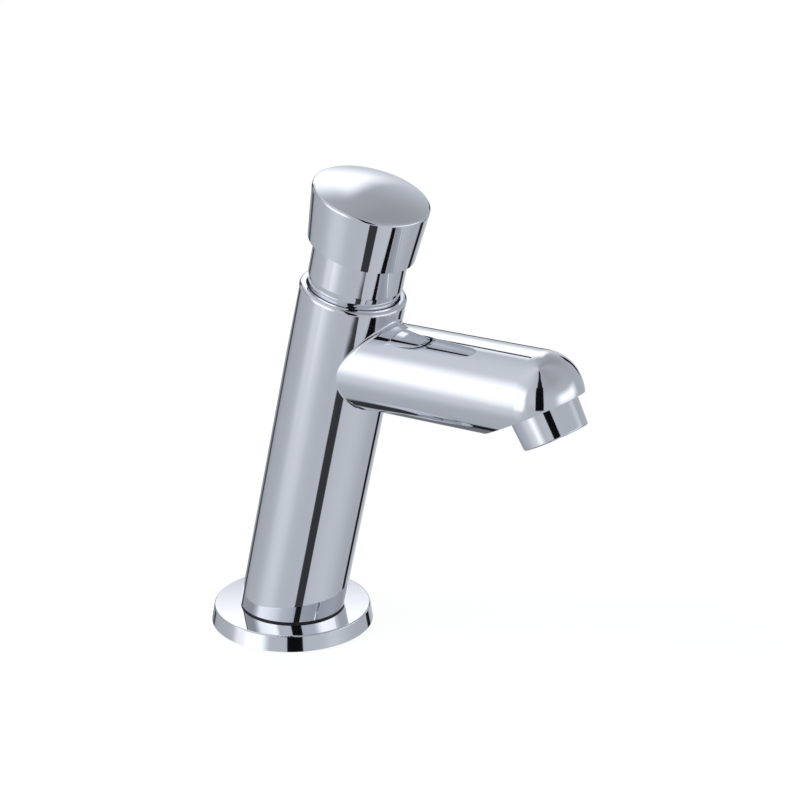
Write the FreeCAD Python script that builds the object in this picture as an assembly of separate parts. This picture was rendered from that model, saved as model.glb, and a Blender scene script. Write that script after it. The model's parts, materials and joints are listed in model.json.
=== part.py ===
import FreeCAD, Part
import math
import os

# Self-closing basin tap. Lengths are millimetres and angles are degrees.
# The origin is the centre of the deck hole on the deck's top face.
# +Z is up and +X is the way the spout points.
# Heights along the barrel are measured on its leaning axis, from the top of the base flange.

# Clearances
SCREW_GAP = 0.05        # radial gap left in a screwed or pressed joint
FACE_GAP = 0.05         # gap between two faces that bear on each other
RUNNING_GAP = 0.06      # radial gap of the stem in its guides
PISTON_GAP = 0.25       # radial gap round the piston, closed by its lip seal
SKIRT_GAP = 0.6         # radial gap between the cap's skirt and the collar
SEAL_GAP = 0.02         # gap between a seal and the walls it touches
TRAVEL_GAP = 1.0        # room left between the cap and the parts below it when it is pressed home
PAST = 1.0              # how far a cut runs past the face it opens
FAR = 200.0             # longer than the tap in any direction

# Inlet shank, a G 1/2 thread drawn at its major diameter
SHANK_R = 10.4775
SHANK_WALL = 2.7775
SHANK_CHAMFER = 1.0
TAIL_LENGTH = 18.0      # thread at the shank's foot that is left free for the supply's connector
RELIEF_WIDTH = 1.2      # groove turned above that thread
RELIEF_DEPTH = 1.2
THREAD_PITCH = 1.814
THREAD_DEPTH = 1.162
THREAD_RUNOUT = 1.5     # plain shank between the ridges and the deck's plane
NUT_SPARE = 0.3         # thread between the backnut and the groove
SOCKET_DEPTH = 12.0     # screwed depth above the flange
SHANK_SEAL_THICK = 1.5
SHANK_SEAL_WIDTH = 2.2
FILTER_R = 6.2
FILTER_LENGTH = 11.0
FILTER_WALL = 0.6
FILTER_SLOTS = 10
FILTER_SLOT_WIDTH = 1.6
FILTER_RIM_THICK = 1.2

# Base flange and its gasket
FLANGE_HEIGHT = 5.6     # top of the flange above the deck
FLANGE_TOP_R = 25.1
FLANGE_FLARE = 0.9      # the foot of the flange is this much wider than its top
FLANGE_ROUND = 0.5
FLANGE_LIFT = 0.4       # the gasket stands this far below the metal
GASKET_THICK = 1.6
GASKET_SETBACK = 2.0    # metal rim outside the gasket
SPIGOT_WALL = 2.7       # wall of the boss under the barrel that centres the flange
SPIGOT_DEPTH = 3.0
FLANGE_WEB = 1.8        # metal between the spigot and the gasket
FOOT_SEAL_THICK = 0.6   # dark joint between the barrel and the flange
FOOT_SEAL_SETBACK = 0.2

# Fixings under the deck
DECK_THICK = 20.0       # thickness of the deck the fixings are drawn for
WASHER_WIDTH = 6.5
SEAL_WASHER_THICK = 2.5
STEEL_WASHER_THICK = 1.5
NUT_WALL = 4.5225       # from the thread to the nut's flats
NUT_HEIGHT = 7.0
NUT_FLANGE_THICK = 1.5
NUT_CHAMFER = 1.2
CHAMFER_ANGLE = 30.0    # slope of the chamfers turned on the nuts

# Barrel
LEAN = 13.0             # lean of the barrel's axis toward the spout
BARREL_R = 16.5
BARREL_LENGTH = 114.7
LIP_ROUND = 1.2
LIP_INNER_ROUND = 0.4
MOUTH_WALL = 2.3
MOUTH_DEPTH = 4.7
HEAD_THREAD_STEP = 1.2  # from the mouth's radius in to the head's thread
HEAD_THREAD_LENGTH = 6.5
CAVITY_STEP = 1.0       # from the head's thread in to the cavity
SEAT_WALL_THICK = 8.0
CHAMBER_WALL = 4.0
CHAMBER_FLOOR_THICK = 2.0   # metal left between the chamber and the rim of the shank's socket
SADDLE_ROUND = 1.0

# Spout and its rounded end
SPOUT_DROP = 24.1       # below the barrel's rim, where the spout's axis leaves the barrel's axis
SPOUT_RISE = 3.0
SPOUT_R = 13.9
SPOUT_WALL = 4.9
SPOUT_REACH = 73.4      # from the barrel's axis to the start of the rounded end
SPOUT_NOSE = 12.6       # depth of the rounded end
OUTLET_SETBACK = 0.8    # from the start of the rounded end back to the outlet's axis
OUTLET_TILT = 30.0      # the outlet points this far forward of straight down
OUTLET_FACE = 4.2       # flat face of the outlet below the spout's axis

# Aerator, measured along the outlet's axis
NOZZLE_LENGTH = 8.8     # from the flat face to the tip
NOZZLE_TIP_R = 10.1
NOZZLE_FLARE = 0.45     # the housing is this much wider at the flat face
NOZZLE_SINK = 1.0       # the housing sits this deep in the flat face
NOZZLE_TIP_ROUND = 0.5
NOZZLE_THREAD_STEP = 0.6
NOZZLE_THREAD_LENGTH = 4.2
NOZZLE_WALL = 1.1
NOZZLE_LIP_WIDTH = 0.8
NOZZLE_LIP_THICK = 0.8
NOZZLE_LIP_SETBACK = 0.7
AERATOR_WASHER_THICK = 1.2
AERATOR_WASHER_WIDTH = 2.85
SCREEN_THICK = 0.6
SCREEN_PITCH = 1.7
SCREEN_HOLE = 1.25
INSERT_LENGTH = 6.0
INSERT_HOLE_R = 0.7
INSERT_HOLES = 12
INSERT_HOLE_SETBACK = 3.0
INSERT_CONE_R = 3.4
INSERT_CONE_HEIGHT = 2.5

# Collar that shows between the barrel and the cap
COLLAR_GAP = 0.34       # dark gap round the collar's foot in the barrel's mouth
COLLAR_BEVEL_OUT = 0.69
COLLAR_BEVEL_LOW = 0.2  # start of the bevel above the barrel's rim
COLLAR_BEVEL_HEIGHT = 3.5
COLLAR_THREAD_WALL = 2.36
COLLAR_TOP_WALL = 1.55
COLLAR_CHAMFER = 0.6
COLLAR_LEDGE_GAP = 0.4
SEAL_GROOVE_DEPTH = 0.96
SEAL_GROOVE_HEIGHT = 1.6
SEAL_GROOVE_BELOW_RIM = 0.2

# Push cap
CAP_TRAVEL = 7.0
CAP_LIFT = 14.6         # height of the skirt's foot above the barrel's rim
SKIRT_LENGTH = 16.6
SKIRT_WALL = 1.45
CAP_FLARE = 1.5         # the rim is this much wider than the skirt's foot
CAP_RAKE = 4.0          # the cap's foot and top dip this much more toward the spout
CAP_CROWN = 2.8
CAP_RIM_ROUND = 0.9
CAP_TOP_THICK = 3.9
CAP_BOSS_WALL = 2.55
STEM_SCREW_BITE = 1.0   # the stem's thread ends this far above the cap's ceiling
SCREW_END_GAP = 0.5

# Cartridge
HOUSING_LENGTH = 40.5   # from the seat wall to the top of the cylinder
HOUSING_FLANGE_THICK = 2.0
HOUSING_GAP = 1.2       # water space round the cartridge
CYLINDER_WALL = 2.2
CYLINDER_SETBACK = 1.0  # shoulder of the head between the cylinder and the thread
WAIST_STEP = 0.8
WAIST_HEIGHT = 9.0
WAIST_WALL = 2.4
NOSE_STEP = 0.5         # from the waist in to the nose
WINDOWS = 4
WINDOW_WIDTH = 7.0
WINDOW_MARGIN = 0.6
LEDGE_THICK = 2.5
LEDGE_GAP = 0.4
ORING_R = 0.74          # half the thickness of the lower seal
ORING_GROOVE_HEIGHT = 1.9
LOWER_SEAL_DEPTH = 2.4  # below the top of the seat wall
SEAT_NOSE_WALL = 2.0
SEAT_RING_WIDTH = 1.3
SEAT_RING_HEIGHT = 3.0
SEAT_LIP_HEIGHT = 0.6
SEAT_LIP_WIDTH = 0.4
SPIGOT_LENGTH = 5.0     # part of the cartridge head inside the cylinder
UPPER_ORING_R = 0.68
UPPER_SEAL_DEPTH = 2.1  # below the top of the cylinder
HEAD_SEAL_THICK = 0.8
HEAD_FLANGE_THICK = 1.6
HEAD_FLANGE_GAP = 0.35
HEAD_STUB_LENGTH = 11.2
HEAD_NOSE_R = 7.0
HEAD_NOSE_HEIGHT = 1.9
BUSH_WALL = 1.94
BUSH_LENGTH = 8.0
BUSH_DEPTH = 0.5
GLAND_ORING_R = 1.05
GLAND_SEAL_LIFT = 3.5   # above the bush

# Stem, piston and valve
STEM_R = 3.0
STEM_FOOT_R = 2.5
STEM_SCREW_R = 2.95
STEM_PROUD = 1.0        # end of the stem that shows under the valve nut
STEM_COLLAR_WIDTH = 1.4
STEM_COLLAR_THICK = 1.5
PISTON_HEIGHT = 6.5
PISTON_GROOVE_DEPTH = 1.95
PISTON_GROOVE_LOW = 1.5
PISTON_GROOVE_HEIGHT = 3.0
LIP_WEB_SHARE = 0.45    # solid part of the lip seal's height
LIP_TIP_THICK = 0.55
LIP_ROOT_THICK = 0.9
CLIP_ROOM = 1.5         # between the piston and the cartridge head
CLIP_THICK = 0.8
CLIP_WIDTH = 2.45
CLIP_GROOVE_DEPTH = 0.45
CLIP_OPENING = 3.6
VALVE_WASHER_LAP = 0.7  # how far the washer reaches outside the seat ring
VALVE_WASHER_THICK = 2.4
VALVE_CUP_WALL = 0.7
VALVE_CUP_FLOOR = 2.4
VALVE_CUP_RIM = 1.4
VALVE_NUT_FLATS = 8.0
VALVE_NUT_HEIGHT = 3.4
VALVE_NUT_CHAMFER = 0.4

# Return spring
SPRING_WIRE_R = 0.55
SPRING_TURNS = 5.0

# Radii that follow from the ones above
SHANK_BORE_R = SHANK_R - SHANK_WALL
NUT_FLATS = 2 * (SHANK_R + NUT_WALL)
SPIGOT_R = SHANK_R + SPIGOT_WALL
GASKET_INNER_R = SPIGOT_R + FLANGE_WEB
FLANGE_FOOT_R = FLANGE_TOP_R + FLANGE_FLARE
GASKET_OUTER_R = FLANGE_FOOT_R - GASKET_SETBACK
WASHER_R = SHANK_R + WASHER_WIDTH
MOUTH_R = BARREL_R - MOUTH_WALL
HEAD_THREAD_R = MOUTH_R - HEAD_THREAD_STEP
HEAD_FLANGE_R = MOUTH_R - HEAD_FLANGE_GAP
CAVITY_R = HEAD_THREAD_R - CAVITY_STEP
CHAMBER_R = BARREL_R - CHAMBER_WALL
HOUSING_R = CAVITY_R - HOUSING_GAP
CYLINDER_BORE_R = HOUSING_R - CYLINDER_WALL
WAIST_R = HOUSING_R - WAIST_STEP
WAIST_BORE_R = WAIST_R - WAIST_WALL
NOSE_BORE_R = WAIST_R - NOSE_STEP
SEAT_RING_R = NOSE_BORE_R - SEAT_NOSE_WALL
SEAT_BORE_R = SEAT_RING_R - SEAT_RING_WIDTH
COLLAR_FOOT_R = MOUTH_R - COLLAR_GAP
COLLAR_R = COLLAR_FOOT_R + COLLAR_BEVEL_OUT
COLLAR_THREAD_R = COLLAR_FOOT_R - COLLAR_THREAD_WALL
COLLAR_BORE_R = COLLAR_R - COLLAR_TOP_WALL
CAP_HOLLOW_R = COLLAR_R + SKIRT_GAP
CAP_FOOT_R = CAP_HOLLOW_R + SKIRT_WALL
CAP_RIM_R = CAP_FOOT_R + CAP_FLARE
CAP_BOSS_R = STEM_SCREW_R + CAP_BOSS_WALL
BUSH_R = STEM_R + RUNNING_GAP + BUSH_WALL
LEDGE_BORE_R = STEM_R + LEDGE_GAP
STEM_COLLAR_R = STEM_R + STEM_COLLAR_WIDTH
SPRING_MEAN_R = (STEM_COLLAR_R + CYLINDER_BORE_R) / 2
PISTON_R = CYLINDER_BORE_R - PISTON_GAP
PISTON_GROOVE_R = PISTON_R - PISTON_GROOVE_DEPTH
CLIP_GROOVE_R = STEM_R - CLIP_GROOVE_DEPTH
CLIP_R = CLIP_GROOVE_R + CLIP_WIDTH
VALVE_WASHER_R = SEAT_RING_R + VALVE_WASHER_LAP
VALVE_CUP_R = VALVE_WASHER_R + SCREW_GAP + VALVE_CUP_WALL
SPOUT_BORE_R = SPOUT_R - SPOUT_WALL
NOZZLE_TOP_R = NOZZLE_TIP_R + NOZZLE_FLARE
NOZZLE_THREAD_R = NOZZLE_TIP_R - NOZZLE_THREAD_STEP
NOZZLE_BORE_R = NOZZLE_THREAD_R - NOZZLE_WALL
NOZZLE_LIP_R = NOZZLE_BORE_R - NOZZLE_LIP_WIDTH
INSERT_HOLE_CIRCLE_R = NOZZLE_BORE_R - INSERT_HOLE_SETBACK

# Heights that follow from the ones above
BARREL_FOOT = FLANGE_HEIGHT + FOOT_SEAL_THICK
SHANK_TOP = FLANGE_HEIGHT + SOCKET_DEPTH - SHANK_SEAL_THICK
NUT_TOP = -DECK_THICK - SEAL_WASHER_THICK - STEEL_WASHER_THICK
NUT_FLANGE_LOW = NUT_TOP - NUT_FLANGE_THICK
NUT_FOOT = NUT_FLANGE_LOW - NUT_HEIGHT
RELIEF_TOP = NUT_FOOT - NUT_SPARE
TAIL_TOP = RELIEF_TOP - RELIEF_WIDTH
SHANK_FOOT = TAIL_TOP - TAIL_LENGTH
CHAMBER_FLOOR = ((SOCKET_DEPTH + CHAMBER_FLOOR_THICK) * math.cos(math.radians(LEAN))
                 + (SHANK_R + SCREW_GAP) * math.sin(math.radians(LEAN)))
MOUTH_FLOOR = BARREL_LENGTH - MOUTH_DEPTH
HEAD_THREAD_LOW = MOUTH_FLOOR - HEAD_THREAD_LENGTH
CYLINDER_TOP = HEAD_THREAD_LOW - CYLINDER_SETBACK
SEAT_WALL_TOP = CYLINDER_TOP - HOUSING_LENGTH
SEAT_LIP = SEAT_WALL_TOP - SEAT_WALL_THICK
LOWER_SEAL_HEIGHT = SEAT_WALL_TOP - LOWER_SEAL_DEPTH
WAIST_TOP = SEAT_WALL_TOP + WAIST_HEIGHT
LEDGE_TOP = WAIST_TOP + LEDGE_THICK
SPIGOT_LOW = CYLINDER_TOP - SPIGOT_LENGTH
UPPER_SEAL_HEIGHT = CYLINDER_TOP - UPPER_SEAL_DEPTH
BUSH_LOW = SPIGOT_LOW + BUSH_DEPTH
GLAND_SEAL_HEIGHT = BUSH_LOW + BUSH_LENGTH + GLAND_SEAL_LIFT
HEAD_FLANGE_LOW = MOUTH_FLOOR + HEAD_SEAL_THICK
HEAD_FLANGE_TOP = HEAD_FLANGE_LOW + HEAD_FLANGE_THICK
HEAD_STUB_TOP = HEAD_FLANGE_TOP + HEAD_STUB_LENGTH
HEAD_NOSE_TOP = HEAD_STUB_TOP + HEAD_NOSE_HEIGHT
PISTON_TOP = SPIGOT_LOW - CLIP_ROOM
PISTON_FOOT = PISTON_TOP - PISTON_HEIGHT
VALVE_NUT_TOP = SEAT_LIP - 3 * FACE_GAP - VALVE_WASHER_THICK - VALVE_CUP_FLOOR
STEM_FOOT = VALVE_NUT_TOP - VALVE_NUT_HEIGHT - STEM_PROUD
SPOUT_HEIGHT = BARREL_LENGTH - SPOUT_DROP
OUTLET_REACH = SPOUT_REACH - OUTLET_SETBACK
CAP_FOOT = BARREL_LENGTH + CAP_LIFT
CAP_RIM = CAP_FOOT + SKIRT_LENGTH
CAP_CEILING = CAP_RIM - CAP_TOP_THICK
COLLAR_TOP = CAP_CEILING - CAP_TRAVEL - TRAVEL_GAP
CAP_BOSS_FOOT = HEAD_NOSE_TOP + CAP_TRAVEL + TRAVEL_GAP
STEM_SCREW_TOP = CAP_CEILING + STEM_SCREW_BITE
NOZZLE_TIP = OUTLET_FACE + NOZZLE_LENGTH
NOZZLE_SCREW_LOW = OUTLET_FACE - NOZZLE_SINK - NOZZLE_THREAD_LENGTH
SCREEN_LOW = NOZZLE_TIP - NOZZLE_LIP_SETBACK - NOZZLE_LIP_THICK - SCREEN_THICK


def vec(x, y, z):
    return FreeCAD.Vector(x, y, z)


def frame_at(origin, lean):
    """Frame whose Z axis leans from vertical toward +X."""
    return FreeCAD.Placement(origin, FreeCAD.Rotation(vec(0, 1, 0), lean))


BARREL = frame_at(vec(0, 0, FLANGE_HEIGHT), LEAN)
SPOUT = frame_at(BARREL.multVec(vec(0, 0, SPOUT_HEIGHT)), 90 - SPOUT_RISE)
OUTLET = frame_at(SPOUT.multVec(vec(0, 0, OUTLET_REACH)), 180 - OUTLET_TILT)
CAP_TOP = frame_at(BARREL.multVec(vec(0, 0, CAP_RIM)), LEAN + CAP_RAKE)
CAP_BASE = frame_at(BARREL.multVec(vec(0, 0, CAP_FOOT)), LEAN + CAP_RAKE)


def placed(shape, frame):
    """Copy of a shape moved from a local frame into the tap's own frame."""
    moved = shape.copy()
    moved.Placement = frame.multiply(moved.Placement)
    return moved


def turned(outline):
    """Solid turned about Z from a closed outline of (radius, height) points."""
    points = [vec(radius, 0, height) for radius, height in outline]
    face = Part.Face(Part.makePolygon(points + points[:1]))
    return face.revolve(vec(0, 0, 0), vec(0, 0, 1), 360)


def rod(radius, low, high):
    return Part.makeCylinder(radius, high - low, vec(0, 0, low))


def ring(inner, outer, low, high):
    return turned([(inner, low), (outer, low), (outer, high), (inner, high)])


def seal_ring(inner, outer, height):
    """Round seal that fills a groove from one radius to another."""
    section = (outer - inner) / 2 - SEAL_GAP
    return Part.makeTorus((outer + inner) / 2, section, vec(0, 0, height))


def hexagon(flats, low, high, chamfer):
    """Hexagonal bar with turned chamfers at both ends."""
    corner = flats / math.sqrt(3)
    points = [vec(corner * math.cos(math.radians(60 * i)), corner * math.sin(math.radians(60 * i)), low)
              for i in range(6)]
    bar = Part.Face(Part.makePolygon(points + points[:1])).extrude(vec(0, 0, high - low))
    rise = chamfer * math.tan(math.radians(CHAMFER_ANGLE))
    crown = turned([(0, low), (corner - chamfer, low), (corner, low + rise),
                    (corner, high - rise), (corner - chamfer, high), (0, high)])
    return bar.common(crown)


def circle_at(height, radius):
    """Test for the round edges of one height and radius in a shape still in its local frame."""
    def wanted(edge):
        curve = edge.Curve
        if not isinstance(curve, Part.Circle):
            return False
        return abs(curve.Center.z - height) < 1e-3 and abs(curve.Radius - radius) < 1e-3
    return wanted


def rounded(shape, radius, wanted):
    return shape.makeFillet(radius, [edge for edge in shape.Edges if wanted(edge)])


def slab(frame, low, high):
    """Wide block between two heights of a frame."""
    block = Part.makeBox(FAR, FAR, high - low, vec(-FAR / 2, -FAR / 2, low))
    return placed(block, frame)


# Tap body: barrel and spout cast in one piece
def barrel_blank():
    bar = rod(BARREL_R, -FLANGE_TOP_R, BARREL_LENGTH)
    bar = rounded(bar, LIP_ROUND, circle_at(BARREL_LENGTH, BARREL_R))
    bar = placed(bar, BARREL)
    return bar.cut(slab(FreeCAD.Placement(), BARREL_FOOT - FAR, BARREL_FOOT))


def spout_blank():
    """Round bar with an elliptical nose, cut flat where the outlet is."""
    start = vec(0, 0, 0)
    edge = vec(SPOUT_R, 0, 0)
    bend = vec(SPOUT_R, 0, SPOUT_REACH)
    nose = vec(0, 0, SPOUT_REACH + SPOUT_NOSE)
    ellipse = Part.Ellipse(bend, nose, vec(0, 0, SPOUT_REACH))
    arc = Part.Edge(ellipse, ellipse.parameter(bend), ellipse.parameter(nose))
    outline = Part.Wire([
        Part.makeLine(start, edge), Part.makeLine(edge, bend), arc, Part.makeLine(nose, start)])
    bar = Part.Face(outline).revolve(vec(0, 0, 0), vec(0, 0, 1), 360)
    return placed(bar, SPOUT).cut(slab(OUTLET, OUTLET_FACE, FAR))


def is_saddle(edge):
    """True on the curve where the spout meets the barrel's side."""
    for point in edge.discretize(9):
        on_barrel = BARREL.inverse().multVec(point)
        on_spout = SPOUT.inverse().multVec(point)
        if abs(math.hypot(on_barrel.x, on_barrel.y) - BARREL_R) > FACE_GAP or on_spout.z < 0:
            return False
        if abs(math.hypot(on_spout.x, on_spout.y) - SPOUT_R) > FACE_GAP:
            return False
    return True


def barrel_waterway():
    """Stepped bore from the mouth down to the chamber under the seat wall."""
    bore = turned([
        (0, CHAMBER_FLOOR), (CHAMBER_R, CHAMBER_FLOOR), (CHAMBER_R, SEAT_LIP),
        (NOSE_BORE_R, SEAT_LIP), (NOSE_BORE_R, SEAT_WALL_TOP), (CAVITY_R, SEAT_WALL_TOP),
        (CAVITY_R, HEAD_THREAD_LOW), (HEAD_THREAD_R, HEAD_THREAD_LOW), (HEAD_THREAD_R, MOUTH_FLOOR),
        (MOUTH_R, MOUTH_FLOOR), (MOUTH_R, BARREL_LENGTH - LIP_INNER_ROUND),
        (MOUTH_R + LIP_INNER_ROUND, BARREL_LENGTH), (MOUTH_R + LIP_INNER_ROUND, BARREL_LENGTH + PAST),
        (0, BARREL_LENGTH + PAST)])
    return placed(bore, BARREL)


def spout_waterway():
    bore = rod(SPOUT_BORE_R, 0, OUTLET_REACH)
    end = Part.makeSphere(SPOUT_BORE_R, vec(0, 0, OUTLET_REACH))
    return placed(bore.fuse(end), SPOUT)


def outlet_socket():
    """Screwed hole for the aerator with a recess that its housing sits in."""
    washer_floor = NOZZLE_SCREW_LOW - AERATOR_WASHER_THICK
    thread = rod(NOZZLE_THREAD_R, washer_floor, OUTLET_FACE + PAST)
    seat = OUTLET_FACE - NOZZLE_SINK
    recess = rod(nozzle_radius(seat) + SCREW_GAP, seat, OUTLET_FACE + PAST)
    return placed(thread.fuse(recess), OUTLET)


def inlet_socket():
    """Screwed hole for the shank and the passage above it, which opens into the leaning chamber."""
    socket_top = FLANGE_HEIGHT + SOCKET_DEPTH
    thread = rod(SHANK_R + SCREW_GAP, FLANGE_HEIGHT - SPIGOT_DEPTH - PAST, socket_top)
    passage = rod(SHANK_BORE_R, socket_top - PAST, FLANGE_HEIGHT + CHAMBER_FLOOR + CHAMBER_R / 2)
    return thread.fuse(passage)


def make_tap_body():
    body = barrel_blank().fuse(spout_blank())
    body = rounded(body, SADDLE_ROUND, is_saddle)
    body = body.fuse(rod(SPIGOT_R, FLANGE_HEIGHT - SPIGOT_DEPTH, BARREL_FOOT))
    for hollow in (barrel_waterway(), spout_waterway(), outlet_socket(), inlet_socket()):
        body = body.cut(hollow)
    return body


# Base, inlet and fixings
def make_base_flange():
    recess_top = GASKET_THICK + SEAL_GAP
    recess_inner = GASKET_INNER_R - SCREW_GAP
    recess_outer = GASKET_OUTER_R + SCREW_GAP
    plate = turned([
        (SPIGOT_R + SCREW_GAP, FLANGE_LIFT), (recess_inner, FLANGE_LIFT), (recess_inner, recess_top),
        (recess_outer, recess_top), (recess_outer, FLANGE_LIFT), (FLANGE_FOOT_R, FLANGE_LIFT),
        (FLANGE_TOP_R, FLANGE_HEIGHT), (SPIGOT_R + SCREW_GAP, FLANGE_HEIGHT)])
    return rounded(plate, FLANGE_ROUND, circle_at(FLANGE_HEIGHT, FLANGE_TOP_R))


def make_foot_seal():
    """Thin ring round the spigot, cut from the barrel's leaning section and set back from its side."""
    disc = placed(rod(BARREL_R - FOOT_SEAL_SETBACK, -FAR / 2, FAR / 2), BARREL)
    disc = disc.common(slab(FreeCAD.Placement(), FLANGE_HEIGHT + SEAL_GAP, BARREL_FOOT - SEAL_GAP))
    return disc.cut(rod(SPIGOT_R + SCREW_GAP, FLANGE_HEIGHT - PAST, BARREL_FOOT + PAST))


def make_flange_gasket():
    return ring(GASKET_INNER_R, GASKET_OUTER_R, 0, GASKET_THICK)


def thread_ridges(low, high):
    """Outline of whole ridges between two heights, with flats a sixth and flanks a third of the pitch."""
    flat = THREAD_PITCH / 6
    flank = THREAD_PITCH / 3
    root_r = SHANK_R - THREAD_DEPTH
    outline = [(SHANK_R, low)]
    for turn in range(int((high - low) / THREAD_PITCH)):
        crest_top = low + turn * THREAD_PITCH + flat
        root = crest_top + flank
        outline += [(SHANK_R, crest_top), (root_r, root), (root_r, root + flat)]
        outline.append((SHANK_R, root + flat + flank))
    return outline


def make_inlet_shank():
    """Tube with ridges where the nut runs and the free thread below them as its plain outer cylinder."""
    thin = SHANK_R - SHANK_CHAMFER
    groove_r = SHANK_R - RELIEF_DEPTH
    ridges = thread_ridges(RELIEF_TOP, -THREAD_RUNOUT)
    return turned([
        (SHANK_BORE_R, SHANK_FOOT), (thin, SHANK_FOOT), (SHANK_R, SHANK_FOOT + SHANK_CHAMFER),
        (SHANK_R, TAIL_TOP), (groove_r, TAIL_TOP), (groove_r, RELIEF_TOP), *ridges,
        (SHANK_R, SHANK_TOP - SHANK_CHAMFER), (thin, SHANK_TOP), (SHANK_BORE_R, SHANK_TOP)])


def make_shank_seal():
    return ring(SHANK_R - SHANK_SEAL_WIDTH, SHANK_R - SEAL_GAP, SHANK_TOP + SEAL_GAP,
                SHANK_TOP + SHANK_SEAL_THICK - SEAL_GAP)


def make_inlet_filter():
    """Slotted cup that stands in the foot of the shank."""
    top = SHANK_FOOT + FILTER_LENGTH
    rim_top = SHANK_FOOT + FILTER_RIM_THICK
    rim_r = SHANK_BORE_R - SCREW_GAP
    bore_r = FILTER_R - FILTER_WALL
    cup = turned([
        (0, top), (FILTER_R, top), (FILTER_R, rim_top), (rim_r, rim_top), (rim_r, SHANK_FOOT),
        (bore_r, SHANK_FOOT), (bore_r, top - FILTER_WALL), (0, top - FILTER_WALL)])
    slot_low = rim_top + FILTER_RIM_THICK
    slot = Part.makeBox(2 * FILTER_R, FILTER_SLOT_WIDTH, top - FILTER_RIM_THICK - slot_low,
                        vec(0, -FILTER_SLOT_WIDTH / 2, slot_low))
    for index in range(FILTER_SLOTS):
        turn = slot.copy()
        turn.rotate(vec(0, 0, 0), vec(0, 0, 1), 360 * index / FILTER_SLOTS)
        cup = cup.cut(turn)
    return cup


def make_deck_seal_washer():
    return ring(SHANK_R + SCREW_GAP, WASHER_R, -DECK_THICK - SEAL_WASHER_THICK, -DECK_THICK)


def make_deck_washer():
    return ring(SHANK_R + SCREW_GAP, WASHER_R, NUT_TOP, NUT_TOP + STEEL_WASHER_THICK)


def make_backnut():
    nut = hexagon(NUT_FLATS, NUT_FOOT, NUT_FLANGE_LOW, NUT_CHAMFER)
    nut = nut.fuse(rod(WASHER_R, NUT_FLANGE_LOW, NUT_TOP))
    return nut.cut(rod(SHANK_R + SCREW_GAP, NUT_FOOT - PAST, NUT_TOP + PAST))


# Aerator, in the outlet's frame
def nozzle_radius(height):
    """Outer radius of the tapered housing at a height of the outlet's axis."""
    share = (height - OUTLET_FACE) / (NOZZLE_TIP - OUTLET_FACE)
    return NOZZLE_TOP_R + (NOZZLE_TIP_R - NOZZLE_TOP_R) * share


def make_aerator_housing():
    seat = OUTLET_FACE - NOZZLE_SINK + FACE_GAP
    lip_low = NOZZLE_TIP - NOZZLE_LIP_SETBACK - NOZZLE_LIP_THICK
    shell = turned([
        (NOZZLE_BORE_R, NOZZLE_SCREW_LOW), (NOZZLE_THREAD_R - SCREW_GAP, NOZZLE_SCREW_LOW),
        (NOZZLE_THREAD_R - SCREW_GAP, seat), (nozzle_radius(seat), seat), (NOZZLE_TIP_R, NOZZLE_TIP),
        (NOZZLE_BORE_R, NOZZLE_TIP), (NOZZLE_LIP_R, NOZZLE_TIP - NOZZLE_LIP_SETBACK),
        (NOZZLE_LIP_R, lip_low), (NOZZLE_BORE_R, lip_low)])
    shell = rounded(shell, NOZZLE_TIP_ROUND, circle_at(NOZZLE_TIP, NOZZLE_TIP_R))
    return placed(shell, OUTLET)


def make_aerator_washer():
    low = NOZZLE_SCREW_LOW - AERATOR_WASHER_THICK + SEAL_GAP
    outer = NOZZLE_THREAD_R - SCREW_GAP
    return placed(ring(outer - AERATOR_WASHER_WIDTH, outer, low, NOZZLE_SCREW_LOW - SEAL_GAP), OUTLET)


def make_aerator_screen():
    """Round plate with a square grid of holes."""
    high = SCREEN_LOW + SCREEN_THICK - FACE_GAP
    plate = rod(NOZZLE_BORE_R - SCREW_GAP, SCREEN_LOW, high)
    steps = int(NOZZLE_LIP_R / SCREEN_PITCH)
    holes = []
    for column in range(-steps, steps + 1):
        for row in range(-steps, steps + 1):
            x = column * SCREEN_PITCH
            y = row * SCREEN_PITCH
            if math.hypot(x, y) < NOZZLE_LIP_R - SCREEN_HOLE / 2:
                corner = vec(x - SCREEN_HOLE / 2, y - SCREEN_HOLE / 2, SCREEN_LOW - PAST)
                holes.append(Part.makeBox(SCREEN_HOLE, SCREEN_HOLE, SCREEN_THICK + 2 * PAST, corner))
    return placed(plate.cut(Part.makeCompound(holes)), OUTLET)


def make_aerator_insert():
    """Plug with a ring of jets and a cone that spreads the water over them."""
    high = SCREEN_LOW - FACE_GAP
    low = high - INSERT_LENGTH
    plug = turned([
        (0, low - INSERT_CONE_HEIGHT), (INSERT_CONE_R, low), (NOZZLE_BORE_R - SCREW_GAP, low),
        (NOZZLE_BORE_R - SCREW_GAP, high), (0, high)])
    for index in range(INSERT_HOLES):
        angle = math.radians(360 * index / INSERT_HOLES)
        x = INSERT_HOLE_CIRCLE_R * math.cos(angle)
        y = INSERT_HOLE_CIRCLE_R * math.sin(angle)
        jet = Part.makeCylinder(INSERT_HOLE_R, INSERT_LENGTH + 2 * PAST, vec(x, y, low - PAST))
        plug = plug.cut(jet)
    return placed(plug, OUTLET)


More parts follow.
